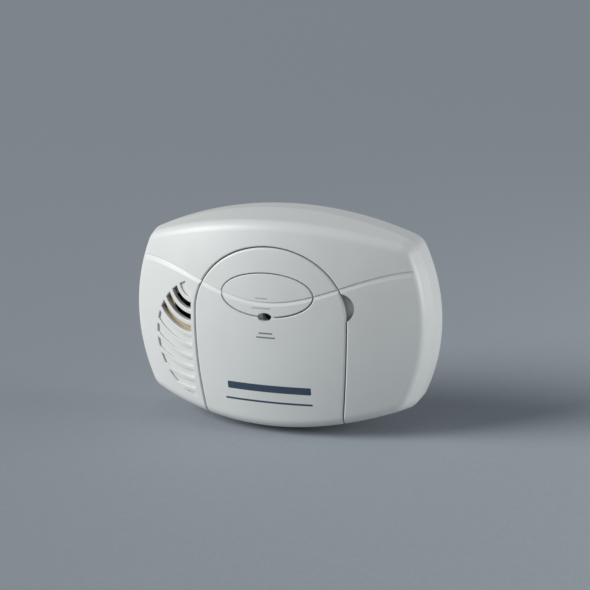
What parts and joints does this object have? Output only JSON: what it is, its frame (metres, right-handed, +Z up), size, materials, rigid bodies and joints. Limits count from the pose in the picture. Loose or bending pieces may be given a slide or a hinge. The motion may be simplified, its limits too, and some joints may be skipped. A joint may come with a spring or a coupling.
{
  "type": "carbon monoxide alarm",
  "caption": "Battery-powered carbon monoxide alarm: bowed white case, swing-open battery door with an oval test button, side sounder grille, wall bracket.",
  "frame": {"origin": "centre of the wall bracket's wall face", "axes": "+X to the right seen from the front, +Y towards the wall, +Z up; the front faces -Y"},
  "size_m": [0.146, 0.04, 0.1006],
  "materials": {
    "housing_plastic": "fine matt moulded ABS, warm white",
    "rear_plastic": "matt moulded ABS, warm white",
    "tray_plastic": "matt moulded ABS, off white",
    "beige_plastic": "matt moulded ABS, beige",
    "black_plastic": "moulded epoxy or nylon, black",
    "black_board": "pressed fibre board, black",
    "white_cap": "moulded nylon, white",
    "battery_wrap": "printed steel jacket, plain",
    "nickel": "nickel plate",
    "tin": "tinned",
    "screw_steel": "zinc plated",
    "circuit_board": "glass epoxy laminate with green solder mask",
    "red_lens": "tinted epoxy lens",
    "clear_acrylic": "polished acrylic",
    "brass": "rolled brass",
    "ceramic": "fired and silvered",
    "rubber": "moulded silicone",
    "label_paper": "blank coated label",
    "ferrite": "sintered ferrite",
    "copper": "enamelled copper wire",
    "capacitor_sleeve": "shrink sleeve",
    "capacitor_tan": "fired"
  },
  "bodies": {
    "bracket": {"wall_bracket": "rear_plastic"},
    "alarm": {"front_cover": "housing_plastic", "rear_cover": "rear_plastic", "battery_tray": "tray_plastic", "battery_jacket": "battery_wrap", "battery_end_plate": "black_board", "battery_positive_snap": "nickel", "battery_negative_snap": "nickel", "contact_plate": "black_board", "positive_contact": "nickel", "negative_contact": "nickel", "main_circuit_board": "circuit_board", "test_switch_body": "black_plastic", "indicator_led": "red_lens", "light_pipe": "clear_acrylic", "sounder_housing": "black_plastic", "sounder_brass_plate": "brass", "sounder_ceramic_disc": "ceramic", "sounder_seat_ring": "rubber", "sounder_baffle": "beige_plastic", "gas_sensor_can": "nickel", "gas_sensor_cap": "white_cap", "gas_sensor_seal": "rubber", "gas_sensor_pins": "tin", "housing_screws": "screw_steel", "rear_label": "label_paper", "door_hinge_pin": "screw_steel", "microcontroller": "black_plastic", "microcontroller_leads": "tin", "horn_driver": "black_plastic", "horn_driver_leads": "tin", "boost_coil_core": "ferrite", "boost_coil_winding": "copper", "electrolytic_capacitors": "capacitor_sleeve", "crystal": "tin", "chip_resistors": "black_plastic", "ceramic_capacitors": "capacitor_tan", "boost_diode": "black_plastic"},
    "door": {"battery_door": "housing_plastic", "button_retainer": "tray_plastic"},
    "button": {"test_button": "housing_plastic"},
    "plunger": {"test_switch_plunger": "black_plastic"}
  },
  "joints": [
    {"name": "alarm_lift", "type": "slide", "parent": "bracket", "child": "alarm", "axis": [0, 0, 1], "range_m": [0, 0.006]},
    {"name": "door_hinge", "type": "hinge", "parent": "alarm", "child": "door", "pos_m": [-0.0274, -0.0344, -0.008], "axis": [0, 0, -1], "range_deg": [0, 95]},
    {"name": "button_press", "type": "slide", "parent": "door", "child": "button", "axis": [0, 1, 0], "range_m": [0, 0.0008], "stiffness_N_per_m": 1500},
    {"name": "plunger_press", "type": "slide", "parent": "alarm", "child": "plunger", "axis": [0, 1, 0], "range_m": [0, 0.00032]}
  ],
  "couplings": [
    {"joint": "plunger_press", "follows": "button_press", "ratio": 0.4}
  ]
}
